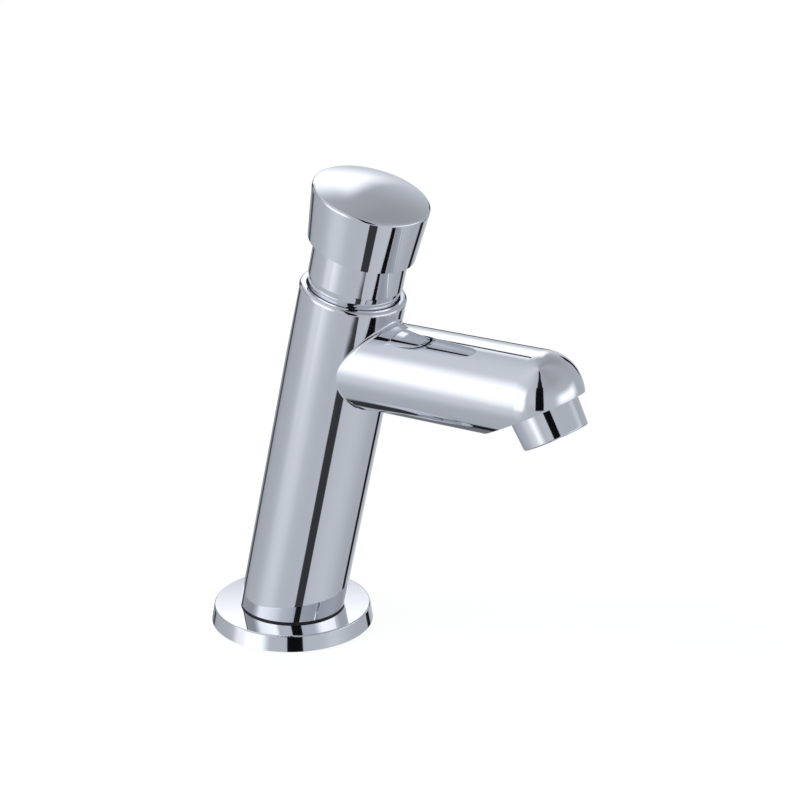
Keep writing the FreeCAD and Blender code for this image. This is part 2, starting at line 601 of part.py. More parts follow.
# Collar and push cap, in the barrel's frame
def make_collar():
    """Chromed ring screwed on the cartridge head, with a seal groove inside the barrel's mouth."""
    foot = HEAD_FLANGE_TOP + FACE_GAP
    groove_top = BARREL_LENGTH - SEAL_GROOVE_BELOW_RIM
    groove_low = groove_top - SEAL_GROOVE_HEIGHT
    groove_r = COLLAR_FOOT_R - SEAL_GROOVE_DEPTH
    bevel_low = BARREL_LENGTH + COLLAR_BEVEL_LOW
    ledge = HEAD_STUB_TOP + COLLAR_LEDGE_GAP
    sleeve = turned([
        (COLLAR_THREAD_R, foot), (COLLAR_FOOT_R, foot), (COLLAR_FOOT_R, groove_low), (groove_r, groove_low),
        (groove_r, groove_top), (COLLAR_FOOT_R, groove_top), (COLLAR_FOOT_R, bevel_low),
        (COLLAR_R, bevel_low + COLLAR_BEVEL_HEIGHT), (COLLAR_R, COLLAR_TOP - COLLAR_CHAMFER),
        (COLLAR_R - COLLAR_CHAMFER, COLLAR_TOP), (COLLAR_BORE_R, COLLAR_TOP), (COLLAR_BORE_R, ledge),
        (COLLAR_THREAD_R, ledge)])
    return placed(sleeve, BARREL)


def make_collar_seal():
    height = BARREL_LENGTH - SEAL_GROOVE_BELOW_RIM - SEAL_GROOVE_HEIGHT / 2
    seal = seal_ring(COLLAR_FOOT_R - SEAL_GROOVE_DEPTH, MOUTH_R, height)
    return placed(seal, BARREL)


def cap_radius(height):
    """Outer radius of the flared skirt at a height of the barrel's axis."""
    share = (height - CAP_FOOT) / (CAP_RIM - CAP_FOOT)
    return CAP_FOOT_R + (CAP_RIM_R - CAP_FOOT_R) * share


def is_cap_rim(edge):
    """True on the curve where the skirt meets the crown, in the barrel's frame."""
    if edge.Length < 2 * CAP_RIM_R:
        return False
    return all(point.z > CAP_CEILING for point in edge.discretize(9))


def make_push_cap():
    dip = CAP_RIM_R * math.tan(math.radians(CAP_RAKE)) + PAST
    low = CAP_FOOT - dip
    high = CAP_RIM + CAP_CROWN + dip
    skirt = turned([(0, low), (cap_radius(low), low), (cap_radius(high), high), (0, high)])
    ball_r = (CAP_RIM_R ** 2 + CAP_CROWN ** 2) / (2 * CAP_CROWN)
    ball = Part.makeSphere(ball_r)
    # On its side, so that neither its poles nor its seam come to the crown.
    ball.rotate(vec(0, 0, 0), vec(0, 1, 0), 90)
    ball.translate(vec(0, 0, CAP_CROWN - ball_r))
    to_barrel = BARREL.inverse()
    crown = placed(ball, to_barrel.multiply(CAP_TOP))
    below = slab(to_barrel.multiply(CAP_BASE), -FAR / 2, 0)
    cap = skirt.common(crown).cut(below)
    cap = rounded(cap, CAP_RIM_ROUND, is_cap_rim)
    hollow = turned([
        (0, low), (CAP_HOLLOW_R, low), (CAP_HOLLOW_R, CAP_CEILING), (CAP_BOSS_R, CAP_CEILING),
        (CAP_BOSS_R, CAP_BOSS_FOOT), (0, CAP_BOSS_FOOT)])
    cap = cap.cut(hollow)
    cap = cap.cut(rod(STEM_SCREW_R + SCREW_GAP, CAP_BOSS_FOOT - PAST, STEM_SCREW_TOP + SCREW_END_GAP))
    return placed(cap, BARREL)


# Cartridge, in the barrel's frame
def make_cartridge_housing():
    """Cylinder of the piston, with windows, a spring ledge and a nose that plugs into the seat wall."""
    nose_r = NOSE_BORE_R - SCREW_GAP
    nose_low = SEAT_LIP + SEAT_LIP_HEIGHT
    groove_r = NOSE_BORE_R - 2 * ORING_R
    groove_low = LOWER_SEAL_HEIGHT - ORING_GROOVE_HEIGHT / 2
    groove_top = groove_low + ORING_GROOVE_HEIGHT
    flange_low = SEAT_WALL_TOP + FACE_GAP
    flange_top = flange_low + HOUSING_FLANGE_THICK
    ring_top = SEAT_LIP + SEAT_RING_HEIGHT
    housing = turned([
        (SEAT_RING_R + SCREW_GAP, nose_low), (nose_r, nose_low), (nose_r, groove_low), (groove_r, groove_low),
        (groove_r, groove_top), (nose_r, groove_top), (nose_r, flange_low), (HOUSING_R, flange_low),
        (HOUSING_R, flange_top), (WAIST_R, flange_top), (WAIST_R, WAIST_TOP),
        (HOUSING_R, WAIST_TOP), (HOUSING_R, CYLINDER_TOP), (CYLINDER_BORE_R, CYLINDER_TOP),
        (CYLINDER_BORE_R, LEDGE_TOP), (LEDGE_BORE_R, LEDGE_TOP), (LEDGE_BORE_R, WAIST_TOP),
        (WAIST_BORE_R, WAIST_TOP), (WAIST_BORE_R, flange_low), (SEAT_BORE_R, flange_low),
        (SEAT_BORE_R, ring_top), (SEAT_RING_R + SCREW_GAP, ring_top)])
    window_low = flange_top + WINDOW_MARGIN
    window_top = WAIST_TOP - WINDOW_MARGIN
    corner = vec(0, -WINDOW_WIDTH / 2, window_low)
    window = Part.makeBox(2 * WAIST_R, WINDOW_WIDTH, window_top - window_low, corner)
    for index in range(WINDOWS):
        turn = window.copy()
        turn.rotate(vec(0, 0, 0), vec(0, 0, 1), 360 * index / WINDOWS)
        housing = housing.cut(turn)
    return placed(housing, BARREL)


def make_seat_ring():
    high = SEAT_LIP + SEAT_RING_HEIGHT - FACE_GAP
    shoulder = SEAT_LIP + SEAT_LIP_HEIGHT
    middle = (SEAT_BORE_R + SEAT_RING_R) / 2
    half_lip = SEAT_LIP_WIDTH / 2
    seat = turned([
        (SEAT_BORE_R, high), (SEAT_BORE_R, shoulder), (middle - half_lip, SEAT_LIP),
        (middle + half_lip, SEAT_LIP), (SEAT_RING_R, shoulder), (SEAT_RING_R, high)])
    return placed(seat, BARREL)


def make_housing_seal_lower():
    return placed(seal_ring(NOSE_BORE_R - 2 * ORING_R, NOSE_BORE_R, LOWER_SEAL_HEIGHT), BARREL)


def make_housing_seal_upper():
    return placed(seal_ring(CYLINDER_BORE_R - 2 * UPPER_ORING_R, CYLINDER_BORE_R, UPPER_SEAL_HEIGHT), BARREL)


def make_head_seal():
    inner = HEAD_THREAD_R + SEAL_GAP
    seal = ring(inner, MOUTH_R - SEAL_GAP, MOUTH_FLOOR + SEAL_GAP, HEAD_FLANGE_LOW - SEAL_GAP)
    return placed(seal, BARREL)


def make_cartridge_head():
    """Gland screwed into the barrel that closes the cylinder and guides the stem."""
    spigot_r = CYLINDER_BORE_R - SCREW_GAP
    groove_r = CYLINDER_BORE_R - 2 * UPPER_ORING_R
    groove_low = UPPER_SEAL_HEIGHT - UPPER_ORING_R
    groove_top = UPPER_SEAL_HEIGHT + UPPER_ORING_R
    gland_low = GLAND_SEAL_HEIGHT - GLAND_ORING_R
    gland_top = GLAND_SEAL_HEIGHT + GLAND_ORING_R
    bore_r = STEM_R + RUNNING_GAP
    gland_r = STEM_R + 2 * GLAND_ORING_R
    bush_top = BUSH_LOW + BUSH_LENGTH
    bush_r = BUSH_R + SCREW_GAP
    thread_r = HEAD_THREAD_R - SCREW_GAP
    stub_r = COLLAR_THREAD_R - SCREW_GAP
    shoulder_low = CYLINDER_TOP + FACE_GAP
    thread_low = HEAD_THREAD_LOW + FACE_GAP
    head = turned([
        (bush_r, SPIGOT_LOW), (spigot_r, SPIGOT_LOW), (spigot_r, groove_low), (groove_r, groove_low),
        (groove_r, groove_top), (spigot_r, groove_top), (spigot_r, shoulder_low), (HOUSING_R, shoulder_low),
        (HOUSING_R, thread_low), (thread_r, thread_low), (thread_r, HEAD_FLANGE_LOW),
        (HEAD_FLANGE_R, HEAD_FLANGE_LOW), (HEAD_FLANGE_R, HEAD_FLANGE_TOP), (stub_r, HEAD_FLANGE_TOP),
        (stub_r, HEAD_STUB_TOP), (HEAD_NOSE_R, HEAD_STUB_TOP), (HEAD_NOSE_R, HEAD_NOSE_TOP),
        (bore_r, HEAD_NOSE_TOP), (bore_r, gland_top), (gland_r, gland_top), (gland_r, gland_low),
        (bore_r, gland_low), (bore_r, bush_top), (bush_r, bush_top)])
    return placed(head, BARREL)


def make_stem_bush():
    return placed(ring(STEM_R + RUNNING_GAP, BUSH_R, BUSH_LOW, BUSH_LOW + BUSH_LENGTH - FACE_GAP), BARREL)


def make_stem_oring():
    return placed(seal_ring(STEM_R, STEM_R + 2 * GLAND_ORING_R, GLAND_SEAL_HEIGHT), BARREL)


# Moving parts, in the barrel's frame
def make_stem():
    collar_low = PISTON_FOOT - FACE_GAP - STEM_COLLAR_THICK
    collar_top = PISTON_FOOT - FACE_GAP
    clip_low = PISTON_TOP
    clip_top = PISTON_TOP + CLIP_THICK + 2 * FACE_GAP
    rod_outline = turned([
        (0, STEM_FOOT), (STEM_FOOT_R, STEM_FOOT), (STEM_FOOT_R, SEAT_LIP), (STEM_R, SEAT_LIP),
        (STEM_R, collar_low), (STEM_COLLAR_R, collar_low), (STEM_COLLAR_R, collar_top), (STEM_R, collar_top),
        (STEM_R, clip_low), (CLIP_GROOVE_R, clip_low), (CLIP_GROOVE_R, clip_top), (STEM_R, clip_top),
        (STEM_R, CAP_BOSS_FOOT - FACE_GAP), (STEM_SCREW_R, CAP_BOSS_FOOT - FACE_GAP),
        (STEM_SCREW_R, STEM_SCREW_TOP), (0, STEM_SCREW_TOP)])
    return placed(rod_outline, BARREL)


def make_piston():
    groove_low = PISTON_FOOT + PISTON_GROOVE_LOW
    groove_top = groove_low + PISTON_GROOVE_HEIGHT
    bore_r = STEM_R + SCREW_GAP
    piston = turned([
        (bore_r, PISTON_FOOT), (PISTON_R, PISTON_FOOT), (PISTON_R, groove_low), (PISTON_GROOVE_R, groove_low),
        (PISTON_GROOVE_R, groove_top), (PISTON_R, groove_top), (PISTON_R, PISTON_TOP), (bore_r, PISTON_TOP)])
    return placed(piston, BARREL)


def make_piston_lip_seal():
    """Cup seal whose lips open toward the timing chamber."""
    low = PISTON_FOOT + PISTON_GROOVE_LOW + SEAL_GAP
    high = low + PISTON_GROOVE_HEIGHT - 2 * SEAL_GAP
    inner = PISTON_GROOVE_R + SEAL_GAP
    outer = CYLINDER_BORE_R - RUNNING_GAP
    web = low + (high - low) * LIP_WEB_SHARE
    seal = turned([
        (inner, low), (PISTON_R, low), (outer, high), (outer - LIP_TIP_THICK, high),
        (outer - LIP_ROOT_THICK, web), (inner + LIP_TIP_THICK, web), (inner + LIP_TIP_THICK, high),
        (inner, high)])
    return placed(seal, BARREL)


def make_stem_circlip():
    low = PISTON_TOP + FACE_GAP
    clip = ring(CLIP_GROOVE_R + SEAL_GAP, CLIP_R, low, low + CLIP_THICK)
    corner = vec(0, -CLIP_OPENING / 2, low - PAST)
    mouth = Part.makeBox(2 * CLIP_R, CLIP_OPENING, CLIP_THICK + 2 * PAST, corner)
    return placed(clip.cut(mouth), BARREL)


def make_valve_washer():
    high = SEAT_LIP - FACE_GAP
    return placed(ring(STEM_FOOT_R + SCREW_GAP, VALVE_WASHER_R, high - VALVE_WASHER_THICK, high), BARREL)


def make_valve_disc():
    """Cup that backs the valve washer."""
    face = SEAT_LIP - 2 * FACE_GAP - VALVE_WASHER_THICK
    low = face - VALVE_CUP_FLOOR
    cup = turned([
        (STEM_FOOT_R + SCREW_GAP, low), (VALVE_CUP_R, low), (VALVE_CUP_R, face + VALVE_CUP_RIM),
        (VALVE_WASHER_R + SCREW_GAP, face + VALVE_CUP_RIM), (VALVE_WASHER_R + SCREW_GAP, face),
        (STEM_FOOT_R + SCREW_GAP, face)])
    return placed(cup, BARREL)


def make_valve_nut():
    low = VALVE_NUT_TOP - VALVE_NUT_HEIGHT
    nut = hexagon(VALVE_NUT_FLATS, low, VALVE_NUT_TOP, VALVE_NUT_CHAMFER)
    return placed(nut.cut(rod(STEM_FOOT_R + SCREW_GAP, low - PAST, VALVE_NUT_TOP + PAST)), BARREL)


def make_return_spring():
    """Coil between the housing's ledge and the piston, one pipe along a true helix."""
    low = LEDGE_TOP + FACE_GAP + SPRING_WIRE_R
    high = PISTON_FOOT - FACE_GAP - SPRING_WIRE_R
    helix = Part.makeHelix((high - low) / SPRING_TURNS, high - low, SPRING_MEAN_R)
    helix.translate(vec(0, 0, low))
    start = helix.Edges[0].valueAt(helix.Edges[0].FirstParameter)
    heading = helix.Edges[0].tangentAt(helix.Edges[0].FirstParameter)
    section = Part.Wire(Part.makeCircle(SPRING_WIRE_R, start, heading))
    coil = Part.Wire(helix.Edges).makePipeShell([section], True, True)
    return placed(coil, BARREL)


NODES = {
    "tap_body": make_tap_body,
    "base_flange": make_base_flange,
    "foot_seal": make_foot_seal,
    "flange_gasket": make_flange_gasket,
    "inlet_shank": make_inlet_shank,
    "shank_seal": make_shank_seal,
    "inlet_filter": make_inlet_filter,
    "deck_seal_washer": make_deck_seal_washer,
    "deck_washer": make_deck_washer,
    "backnut": make_backnut,
    "aerator_housing": make_aerator_housing,
    "aerator_washer": make_aerator_washer,
    "aerator_screen": make_aerator_screen,
    "aerator_insert": make_aerator_insert,
    "collar": make_collar,
    "collar_seal": make_collar_seal,
    "cartridge_housing": make_cartridge_housing,
    "seat_ring": make_seat_ring,
    "housing_seal_lower": make_housing_seal_lower,
    "housing_seal_upper": make_housing_seal_upper,
    "head_seal": make_head_seal,
    "cartridge_head": make_cartridge_head,
    "stem_bush": make_stem_bush,
    "stem_oring": make_stem_oring,
    "push_cap": make_push_cap,
    "stem": make_stem,
    "piston": make_piston,
    "piston_lip_seal": make_piston_lip_seal,
    "stem_circlip": make_stem_circlip,
    "valve_washer": make_valve_washer,
    "valve_disc": make_valve_disc,
    "valve_nut": make_valve_nut,
    "return_spring": make_return_spring,
}


def main():
    os.makedirs("parts", exist_ok=True)
    for name, make in NODES.items():
        shape = make()
        shape.exportStep(f"parts/{name}.step")
        box = shape.BoundBox
        print(f"{name}: {len(shape.Solids)} solid, {shape.Volume:.1f} mm3, valid {shape.isValid()}, "
              f"x {box.XMin:.1f} to {box.XMax:.1f}, z {box.ZMin:.1f} to {box.ZMax:.1f}")


main()
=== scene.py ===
import json
import math

import bpy
from mathutils import Matrix, Vector


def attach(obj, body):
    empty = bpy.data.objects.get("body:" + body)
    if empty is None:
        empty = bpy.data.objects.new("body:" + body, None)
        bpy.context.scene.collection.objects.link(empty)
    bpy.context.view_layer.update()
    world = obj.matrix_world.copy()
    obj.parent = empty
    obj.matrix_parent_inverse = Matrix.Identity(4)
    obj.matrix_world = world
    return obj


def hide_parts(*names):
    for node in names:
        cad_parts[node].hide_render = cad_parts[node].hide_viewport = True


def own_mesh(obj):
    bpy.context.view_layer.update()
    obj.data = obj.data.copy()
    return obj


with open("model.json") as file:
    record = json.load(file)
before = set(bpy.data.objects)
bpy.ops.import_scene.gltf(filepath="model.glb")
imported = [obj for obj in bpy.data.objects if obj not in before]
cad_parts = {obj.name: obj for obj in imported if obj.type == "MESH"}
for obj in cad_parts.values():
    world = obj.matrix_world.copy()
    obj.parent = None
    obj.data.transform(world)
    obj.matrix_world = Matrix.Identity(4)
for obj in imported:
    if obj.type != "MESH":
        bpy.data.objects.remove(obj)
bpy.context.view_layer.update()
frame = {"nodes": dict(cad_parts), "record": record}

MM = 0.001
NODES = frame["nodes"]

# Sizes shared with the solids, in millimetres
LEAN = 13.0
FLANGE_HEIGHT = 5.6
SHANK_R = 20.955 / 2
SHANK_BORE_R = 7.7
SHANK_FOOT = -52.0
SHANK_TOP = 16.1
THREAD_PITCH = 25.4 / 14
THREAD_DEPTH = 1.162
RELIEF_LOW = -34.0
RELIEF_TOP = -32.8
RELIEF_R = SHANK_R - 1.2
LEDGE_TOP = 73.5
PISTON_FOOT = 89.5
SPRING_MEAN_R = 6.5
SPRING_WIRE_R = 0.55
SPRING_FACE_GAP = 0.05
BARREL_LENGTH = 114.7
MOUTH_R = 14.2
COLLAR_FOOT_R = 13.86
COLLAR_R = 14.55
COLLAR_THREAD_R = 11.5
COLLAR_BORE_R = 13.0
COLLAR_FOOT = 112.45
COLLAR_LEDGE = 124.0
COLLAR_TOP = 134.0
COLLAR_CHAMFER = 0.6
BEVEL_LOW = BARREL_LENGTH + 0.2
BEVEL_HIGH = BEVEL_LOW + 3.5
SEAL_GROOVE_R = COLLAR_FOOT_R - 0.96
SEAL_GROOVE_LOW = BARREL_LENGTH - 1.8
SEAL_GROOVE_HIGH = BARREL_LENGTH - 0.2
SEAL_HEIGHT = BARREL_LENGTH - 1.0
SEAL_HALF_HEIGHT = 0.63
SEAL_GAP = 0.02

LATHE_COLUMNS = 320
EDGE_ROUNDING = 0.12


def barrel_frame():
    """Matrix from millimetres in the barrel's frame to metres in the row's frame."""
    turn = Matrix.Rotation(math.radians(LEAN), 4, "Y")
    return Matrix.Translation((0, 0, FLANGE_HEIGHT * MM)) @ turn @ Matrix.Scale(MM, 4)


class Graph:
    """Short hand for building a node tree."""

    def __init__(self, tree):
        self.tree = tree
        tree.nodes.clear()

    def node(self, kind, **settings):
        made = self.tree.nodes.new("ShaderNode" + kind)
        for name, value in settings.items():
            setattr(made, name, value)
        return made

    def feed(self, socket, value):
        if isinstance(value, bpy.types.NodeSocket):
            self.tree.links.new(value, socket)
        else:
            socket.default_value = value

    def math(self, operation, *values):
        made = self.node("Math", operation=operation)
        for socket, value in zip(made.inputs, values):
            self.feed(socket, value)
        return made.outputs[0]

    def remap(self, value, low, high, to_low, to_high, smooth=False):
        made = self.node("MapRange", interpolation_type="SMOOTHSTEP" if smooth else "LINEAR")
        for name, item in (("Value", value), ("From Min", low), ("From Max", high),
                           ("To Min", to_low), ("To Max", to_high)):
            self.feed(made.inputs[name], item)
        return made.outputs["Result"]

    def mix(self, share, first, second):
        made = self.node("Mix", data_type="FLOAT")
        for socket, value in zip(made.inputs, (share, None, first, second)):
            if value is not None:
                self.feed(socket, value)
        return made.outputs[0]

    def blend(self, share, first, second):
        """Mix of two colours. The colour sockets of the Mix node are its seventh and eighth."""
        made = self.node("Mix", data_type="RGBA")
        self.feed(made.inputs[0], share)
        self.feed(made.inputs[6], first)
        self.feed(made.inputs[7], second)
        return made.outputs[2]

    def show(self, shader, kind="OutputMaterial"):
        self.feed(self.node(kind).inputs["Surface"], shader.outputs[0])

    def blended_shader(self, share, first, second):
        made = self.node("MixShader")
        self.feed(made.inputs[0], share)
        self.feed(made.inputs[1], first.outputs[0])
        self.feed(made.inputs[2], second.outputs[0])
        return made

    def noise(self, place, scale, detail=3.0):
        made = self.node("TexNoise")
        self.feed(made.inputs["Vector"], place)
        made.inputs["Scale"].default_value = scale
        made.inputs["Detail"].default_value = detail
        return made.outputs["Fac"]


def new_material(name):
    material = bpy.data.materials.new(name)
    material.use_nodes = True
    graph = Graph(material.node_tree)
    shader = graph.node("BsdfPrincipled")
    graph.show(shader)
    place = graph.node("TexCoord").outputs["Object"]
    return material, graph, shader, place


def bumped(graph, shader, height, distance):
    bump = graph.node("Bump")
    bump.inputs["Distance"].default_value = distance
    graph.feed(bump.inputs["Height"], height)
    graph.feed(shader.inputs["Normal"], bump.outputs[0])


def chrome():
    """Bright chrome plate, a little uneven in tint and gloss, with a faint waviness from polishing."""
    material, graph, shader, place = new_material("polished_chrome")
    shader.inputs["Metallic"].default_value = 1.0
    tint = graph.noise(place, 45.0)
    graph.feed(shader.inputs["Base Color"],
               graph.blend(tint, (0.85, 0.86, 0.89, 1), (0.89, 0.90, 0.93, 1)))
    gloss = graph.noise(place, 130.0, 4.0)
    graph.feed(shader.inputs["Roughness"], graph.remap(gloss, 0.3, 0.7, 0.03, 0.055))
    bumped(graph, shader, graph.noise(place, 90.0, 1.0), 0.00002)
    return material


def turned_metal(name, dark, light, roughness):
    """Machined metal with fine turning marks round the upright axis."""
    material, graph, shader, place = new_material(name)
    shader.inputs["Metallic"].default_value = 1.0
    stain = graph.noise(place, 60.0, 5.0)
    graph.feed(shader.inputs["Base Color"], graph.blend(stain, dark, light))
    marks = graph.node("TexWave", wave_type="BANDS", bands_direction="Z")
    graph.feed(marks.inputs["Vector"], place)
    marks.inputs["Scale"].default_value = 1200.0
    marks.inputs["Distortion"].default_value = 1.5
    graph.feed(shader.inputs["Roughness"],
               graph.remap(graph.noise(place, 300.0, 3.0), 0.3, 0.7, roughness - 0.06, roughness + 0.08))
    bumped(graph, shader, marks.outputs["Fac"], 0.000015)
    return material


def rubber():
    material, graph, shader, place = new_material("black_rubber")
    dust = graph.noise(place, 400.0, 5.0)
    graph.feed(shader.inputs["Base Color"],
               graph.blend(dust, (0.012, 0.012, 0.014, 1), (0.035, 0.035, 0.038, 1)))
    graph.feed(shader.inputs["Roughness"], graph.remap(dust, 0.3, 0.7, 0.5, 0.68))
    bumped(graph, shader, graph.noise(place, 1500.0, 2.0), 0.00003)
    return material


def moulded(name, dark, light, roughness):
    """Moulded engineering plastic with a fine eroded texture."""
    material, graph, shader, place = new_material(name)
    cloud = graph.noise(place, 80.0, 2.0)
    graph.feed(shader.inputs["Base Color"], graph.blend(cloud, dark, light))
    graph.feed(shader.inputs["Roughness"], graph.remap(cloud, 0.3, 0.7, roughness - 0.05, roughness + 0.05))
    shader.inputs["Subsurface Weight"].default_value = 0.08
    shader.inputs["Subsurface Scale"].default_value = 0.001
    bumped(graph, shader, graph.noise(place, 2200.0, 2.0), 0.00001)
    return material


FINISHES = {
    "chromed_brass": chrome(),
    "raw_brass": turned_metal("machined_brass", (0.62, 0.45, 0.19, 1), (0.78, 0.61, 0.31, 1), 0.26),
    "stainless": turned_metal("stainless_steel", (0.50, 0.50, 0.51, 1), (0.66, 0.66, 0.67, 1), 0.3),
    "black_rubber": rubber(),
    "white_plastic": moulded("white_acetal", (0.74, 0.74, 0.71, 1), (0.82, 0.82, 0.80, 1), 0.38),
    "grey_plastic": moulded("grey_plastic", (0.16, 0.165, 0.175, 1), (0.22, 0.225, 0.235, 1), 0.42),
}

SLOTS = {part["node"]: part["material_slot"] for part in frame["record"]["subparts"]}


def finish(thing, slot):
    thing.data.materials.clear()
    thing.data.materials.append(FINISHES[slot])


for node_name, thing in NODES.items():
    finish(thing, SLOTS[node_name])


def mesh_piece(name, points, faces, node, body, matrix=None, sharp=40.0):
    """New piece that stands for one CAD node, rides on its body and takes its finish."""
    mesh = bpy.data.meshes.new(name)
    mesh.from_pydata(points, [], faces)
    mesh.transform(matrix or Matrix.Scale(MM, 4))
    mesh.validate()
    mesh.shade_smooth()
    mesh.set_sharp_from_angle(angle=math.radians(sharp))
    piece = bpy.data.objects.new(name, mesh)
    bpy.context.scene.collection.objects.link(piece)
    finish(piece, SLOTS[node])
    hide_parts(node)
    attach(piece, body)
    return piece


def ring_faces(first, second, count):
    """Quads between two closed rows of points that start at these indices."""
    return [(first + i, first + (i + 1) % count, second + (i + 1) % count, second + i) for i in range(count)]


def circle_points(radius, height, count):
    angles = [2 * math.pi * i / count for i in range(count)]
    return [(radius * math.cos(angle), radius * math.sin(angle), height) for angle in angles]


def eased(outline, reach):
    """Closed outline with its corners rounded, and a row beside each rounding that keeps the flats flat."""
    steps = 4
    beside = 1.6  # place of that row, in lengths of the rounding
    softened = []
    count = len(outline)
    for index, corner in enumerate(outline):
        here = Vector(corner)
        back = Vector(outline[index - 1]) - here
        ahead = Vector(outline[(index + 1) % count]) - here
        back = back.normalized() * min(reach, back.length / 4)
        ahead = ahead.normalized() * min(reach, ahead.length / 4)
        softened.append(here + back * beside)
        for step in range(steps + 1):
            share = step / steps
            softened.append(here + back * (1 - share) ** 2 + ahead * share ** 2)
        softened.append(here + ahead * beside)
    return [tuple(spot) for spot in softened]


def lathed(outline, columns=LATHE_COLUMNS):
    """Solid of revolution about the axis, from a closed anticlockwise outline of radii and heights."""
    points = [spot for radius, height in outline for spot in circle_points(radius, height, columns)]
    faces = []
    for row in range(len(outline)):
        faces += ring_faces(row * columns, (row + 1) % len(outline) * columns, columns)
    return points, faces


def collar_outline():
    return eased([
        (COLLAR_THREAD_R, COLLAR_FOOT), (COLLAR_FOOT_R, COLLAR_FOOT), (COLLAR_FOOT_R, SEAL_GROOVE_LOW),
        (SEAL_GROOVE_R, SEAL_GROOVE_LOW), (SEAL_GROOVE_R, SEAL_GROOVE_HIGH),
        (COLLAR_FOOT_R, SEAL_GROOVE_HIGH), (COLLAR_FOOT_R, BEVEL_LOW), (COLLAR_R, BEVEL_HIGH),
        (COLLAR_R, COLLAR_TOP - COLLAR_CHAMFER), (COLLAR_R - COLLAR_CHAMFER, COLLAR_TOP),
        (COLLAR_BORE_R, COLLAR_TOP), (COLLAR_BORE_R, COLLAR_LEDGE), (COLLAR_THREAD_R, COLLAR_LEDGE),
    ], EDGE_ROUNDING)


def seal_outline(inner, outer, height, half_height, steps=24):
    """Section of a soft ring squeezed between two walls."""
    middle = (inner + outer) / 2
    half = (outer - inner) / 2
    turns = [2 * math.pi * step / steps for step in range(steps)]
    return [(middle + half * math.cos(turn), height + half_height * math.sin(turn)) for turn in turns]


def relieved(height):
    """Radius that the groove above the free thread leaves. Its sides rise by 2 for each 1 along the shank."""
    outside = max(height - RELIEF_TOP, RELIEF_LOW - height, 0.0)
    return RELIEF_R + 2 * outside


def threaded_tube(radius, depth, pitch, low, high, columns=96):
    """Tube with a true single-start thread outside; its two ends run out into plain chamfers."""
    end_step = 0.05
    crest = ((0.0, 0.0), (0.14, 0.0), (0.5, depth), (0.64, depth))  # share of the pitch, cut below the crest
    turns = int((high - low) / pitch) + 2
    rows = turns * len(crest)
    points = []
    for column in range(columns):
        angle = 2 * math.pi * column / columns
        for row in range(rows + 1):
            turn, step = divmod(row, len(crest))
            height = low + pitch * (turn - 1 + crest[step][0] + column / columns)
            height = min(max(height, low), high)
            edge = min(height - low, high - height)
            reach = min(radius - crest[step][1], radius - depth - end_step + edge, relieved(height))
            points.append((reach * math.cos(angle), reach * math.sin(angle), height))
    stride = rows + 1
    faces = []
    for column in range(columns):
        for row in range(rows):
            here = column * stride + row
            if column + 1 < columns:
                faces.append((here, here + stride, here + stride + 1, here + 1))
            elif row + len(crest) + 1 <= rows:
                faces.append((here, row + len(crest), row + len(crest) + 1, here + 1))
    return points, faces, stride


def shank_mesh():
    points, faces, stride = threaded_tube(SHANK_R, THREAD_DEPTH, THREAD_PITCH, SHANK_FOOT, SHANK_TOP)
    columns = len(points) // stride
    bore = len(points)
    points += circle_points(SHANK_BORE_R, SHANK_FOOT, columns)
    points += circle_points(SHANK_BORE_R, SHANK_TOP, columns)
    faces += ring_faces(bore, bore + columns, columns)
    for column in range(columns):
        after = (column + 1) % columns
        faces.append((bore + column, column * stride, after * stride, bore + after))
        faces.append((bore + columns + after, after * stride + stride - 1, column * stride + stride - 1,
                      bore + columns + column))
    return points, faces


def spring_mesh(turns=7.0, sides=14, steps=52):
    """Compression spring with a closed coil at each end."""
    low = LEDGE_TOP + SPRING_WIRE_R + SPRING_FACE_GAP
    high = PISTON_FOOT - SPRING_WIRE_R - SPRING_FACE_GAP
    count = int(turns * steps)
    closed = 1.0
    end_rise = 2 * SPRING_WIRE_R * 1.02
    points = []
    for i in range(count + 1):
        turn = turns * i / count
        angle = 2 * math.pi * turn
        if turn < closed:
            height = low + end_rise * turn / closed
        elif turn > turns - closed:
            height = high - end_rise * (turns - turn) / closed
        else:
            share = (turn - closed) / (turns - 2 * closed)
            height = low + end_rise + (high - low - 2 * end_rise) * share
        out = Vector((math.cos(angle), math.sin(angle), 0))
        for side in range(sides):
            around = 2 * math.pi * side / sides
            spot = out * (SPRING_MEAN_R + SPRING_WIRE_R * math.cos(around))
            points.append((spot.x, spot.y, height + SPRING_WIRE_R * math.sin(around)))
    faces = []
    for i in range(count):
        faces += ring_faces(i * sides, (i + 1) * sides, sides)
    faces.append(tuple(range(sides)))
    faces.append(tuple(reversed(range(count * sides, (count + 1) * sides))))
    return points, faces


shank = mesh_piece("inlet_shank_threaded", *shank_mesh(), "inlet_shank", "tap", sharp=25.0)

mesh_piece("collar_turned", *lathed(collar_outline()), "collar", "tap", barrel_frame(), sharp=60.0)
mesh_piece("collar_seal_ring",
           *lathed(seal_outline(SEAL_GROOVE_R + SEAL_GAP, MOUTH_R - SEAL_GAP, SEAL_HEIGHT, SEAL_HALF_HEIGHT)),
           "collar_seal", "tap", barrel_frame(), sharp=60.0)

spring = mesh_piece("return_spring_coil", *spring_mesh(), "return_spring", "tap", barrel_frame())
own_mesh(spring)


# Mirrors don't see the floor, so what hangs below it is kept out of them too.
BELOW_DECK = ("deck_seal_washer", "deck_washer", "backnut", "inlet_filter")
for piece in [shank] + [NODES[name] for name in BELOW_DECK]:
    piece.visible_glossy = False


